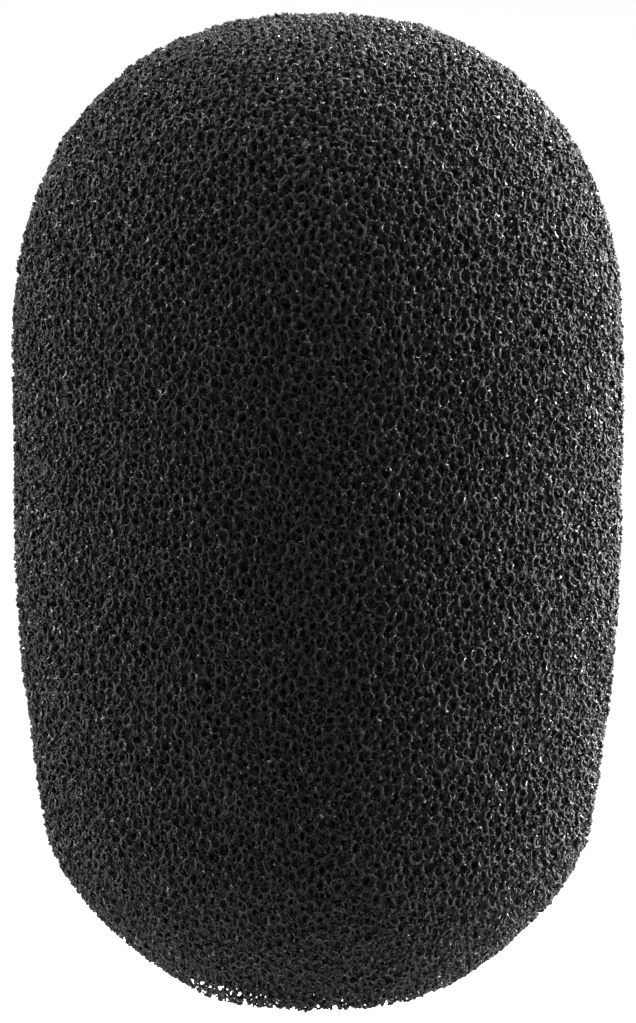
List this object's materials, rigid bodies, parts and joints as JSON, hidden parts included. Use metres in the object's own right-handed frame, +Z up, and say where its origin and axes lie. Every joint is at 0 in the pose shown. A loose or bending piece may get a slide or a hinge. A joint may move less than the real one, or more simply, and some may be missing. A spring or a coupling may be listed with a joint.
{
  "type": "foam microphone windscreen",
  "caption": "Long round-ended open-cell foam windscreen with a lined blind bore and an elastomer grip ring in its mouth, for a pencil microphone.",
  "frame": {"origin": "centre of the base, on the plane that the windscreen stands on", "axes": "+Z up the bore axis towards the crown; X and Y are free, because the foam is a body of revolution, and one relief slot of the grip ring lies on +X"},
  "size_m": [0.062, 0.062, 0.1],
  "materials": {
    "foam": "black reticulated open-cell polyurethane foam with slightly glossy struts",
    "knit": "dark grey warp-knitted acoustic mesh",
    "dense_foam": "charcoal fine-pore foam",
    "elastomer": "black satin thermoplastic elastomer",
    "glue": "cured contact adhesive, pale amber"
  },
  "bodies": {
    "root": {"foam_body": "foam", "bore_liner": "knit", "end_pad": "dense_foam", "pad_adhesive": "glue", "grip_ring": "elastomer", "ring_adhesive": "glue"}
  },
  "joints": []
}
